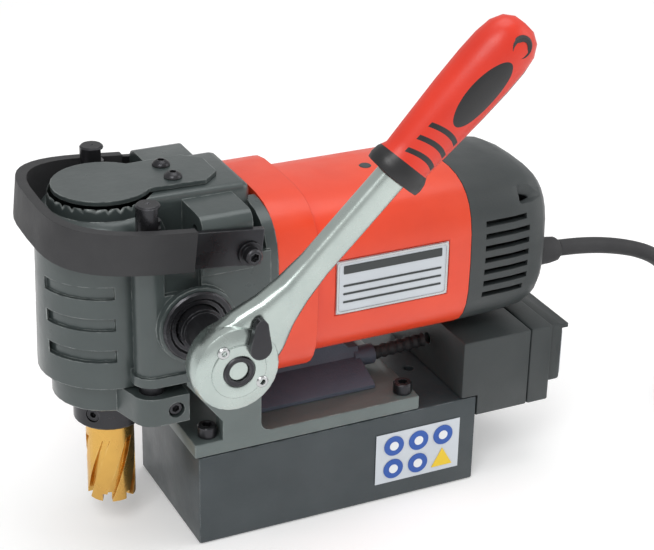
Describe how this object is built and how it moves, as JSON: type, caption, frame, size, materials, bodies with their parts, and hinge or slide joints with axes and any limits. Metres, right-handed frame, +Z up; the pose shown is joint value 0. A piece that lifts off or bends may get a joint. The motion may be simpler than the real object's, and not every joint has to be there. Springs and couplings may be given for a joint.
{
  "type": "magnetic drill press",
  "caption": "Compact drill press on an electromagnet base, with a horizontal motor over the base, a geared spindle holding an annular cutter, and a ratchet handle that feeds the quill.",
  "frame": {"origin": "centre of the magnet's flat sole, on the surface it holds to", "axes": "+X from the spindle to the motor's rear, -Y towards the ratchet handle, +Z up, away from the work"},
  "size_m": [0.5141, 0.1892, 0.2887],
  "materials": {
    "cast_paint": "dark green-grey semi-gloss paint on a casting",
    "plate_paint": "grey-green semi-gloss paint",
    "magnet_paint": "slate paint on steel",
    "cradle_paint": "blue-grey crinkle paint",
    "red_plastic": "satin orange-red moulding",
    "dark_plastic": "dark grey moulding",
    "black_oxide": "black oxide on steel",
    "machined_steel": "machined steel",
    "satin_chrome": "satin chrome plate",
    "nitride_gold": "gold nitride coat on tool steel",
    "copper_winding": "varnished copper winding",
    "black_rubber": "matt black rubber",
    "label_face": "plain printed plate",
    "green_plastic": "green moulding"
  },
  "bodies": {
    "frame": {"magnet_body": "magnet_paint", "magnet_coil": "copper_winding", "base_casting": "plate_paint", "base_screw_front_near": "black_oxide", "base_screw_front_far": "black_oxide", "base_screw_rear_near": "black_oxide", "base_screw_rear_far": "black_oxide", "motor_cradle": "cradle_paint", "wire_conduit": "black_rubber", "gearbox_housing": "cast_paint", "cover_plate": "cast_paint", "cover_screw_near": "black_oxide", "cover_screw_far": "black_oxide", "carry_strap": "black_oxide", "strap_sleeve": "black_rubber", "strap_bolt_near": "black_oxide", "strap_bolt_far": "black_oxide", "shaft_ring_near": "black_oxide", "shaft_ring_far": "black_oxide", "spindle_gear_bearing": "machined_steel", "lay_shaft_bearing": "machined_steel", "stator": "machined_steel", "motor_bearing_front": "machined_steel", "motor_bearing_rear": "machined_steel", "carbon_brush_near": "black_oxide", "carbon_brush_far": "black_oxide", "motor_housing": "red_plastic", "nameplate": "label_face", "motor_end_cap": "dark_plastic", "control_box": "dark_plastic", "control_box_cover": "dark_plastic", "control_board": "green_plastic", "switch_panel": "dark_plastic", "safety_label": "label_face", "cord_gland": "black_rubber", "mains_cord": "black_rubber", "cord_coil": "black_rubber", "mains_plug": "black_rubber"},
    "quill": {"quill_carrier": "cast_paint", "rack_near": "black_oxide", "rack_far": "black_oxide", "lug_screw_near": "black_oxide", "lug_screw_far": "black_oxide", "quill_bearing": "machined_steel"},
    "spindle": {"spindle_arbor": "black_oxide", "arbor_screw": "black_oxide", "annular_cutter": "nitride_gold"},
    "pilot": {"pilot_pin": "machined_steel"},
    "feed": {"feed_shaft": "black_oxide"},
    "ratchet": {"ratchet_body": "satin_chrome", "ratchet_grip": "red_plastic"},
    "reverser": {"reversing_lever": "black_oxide"},
    "release": {"release_button": "satin_chrome"},
    "crown": {"spindle_gear": "machined_steel"},
    "lay": {"lay_shaft": "machined_steel"},
    "rotor": {"armature": "copper_winding", "motor_fan": "dark_plastic"},
    "start": {"start_button": "green_plastic"},
    "stop": {"stop_button": "red_plastic"},
    "rocker": {"magnet_rocker": "red_plastic"}
  },
  "joints": [
    {"name": "quill_slide", "type": "slide", "parent": "frame", "child": "quill", "axis": [0, 0, -1], "range_m": [0, 0.04]},
    {"name": "feed_turn", "type": "hinge", "parent": "frame", "child": "feed", "pos_m": [-0.0835, 0, 0.132], "axis": [0, -1, 0], "range_deg": [0, 156]},
    {"name": "ratchet_turn", "type": "hinge", "parent": "feed", "child": "ratchet", "pos_m": [-0.0835, 0, 0.132], "axis": [0, 1, 0], "range_deg": [-12, 80]},
    {"name": "reverser_turn", "type": "hinge", "parent": "ratchet", "child": "reverser", "pos_m": [-0.07389, -0.101, 0.14286], "axis": [0, 1, 0], "range_deg": [-25, 40]},
    {"name": "release_press", "type": "slide", "parent": "ratchet", "child": "release", "axis": [0, 1, 0], "range_m": [0, 0.0025], "stiffness_N_per_m": 800},
    {"name": "spindle_turn", "type": "hinge", "parent": "quill", "child": "spindle", "pos_m": [-0.112, 0, 0.1], "axis": [0, 0, 1], "continuous": true},
    {"name": "pilot_slide", "type": "slide", "parent": "spindle", "child": "pilot", "axis": [0, 0, 1], "range_m": [0, 0.01], "stiffness_N_per_m": 300},
    {"name": "crown_turn", "type": "hinge", "parent": "frame", "child": "crown", "pos_m": [-0.112, 0, 0.13], "axis": [0, 0, 1], "continuous": true},
    {"name": "lay_turn", "type": "hinge", "parent": "frame", "child": "lay", "pos_m": [-0.07, 0, 0.15395], "axis": [1, 0, 0], "continuous": true},
    {"name": "rotor_turn", "type": "hinge", "parent": "frame", "child": "rotor", "pos_m": [0, 0, 0.1327], "axis": [1, 0, 0], "continuous": true},
    {"name": "start_press", "type": "slide", "parent": "frame", "child": "start", "axis": [-1, 0, 0], "range_m": [0, 0.002], "stiffness_N_per_m": 800},
    {"name": "stop_press", "type": "slide", "parent": "frame", "child": "stop", "axis": [-1, 0, 0], "range_m": [0, 0.002], "stiffness_N_per_m": 800},
    {"name": "rocker_turn", "type": "hinge", "parent": "frame", "child": "rocker", "pos_m": [0.133, 0.011, 0.064], "axis": [0, 1, 0], "range_deg": [-10, 10]}
  ],
  "couplings": [
    {"joint": "feed_turn", "follows": "quill_slide", "rad_per_m": 66.667},
    {"joint": "lay_turn", "follows": "rotor_turn", "ratio": -0.23529},
    {"joint": "crown_turn", "follows": "rotor_turn", "ratio": -0.078431},
    {"joint": "spindle_turn", "follows": "rotor_turn", "ratio": -0.078431}
  ]
}
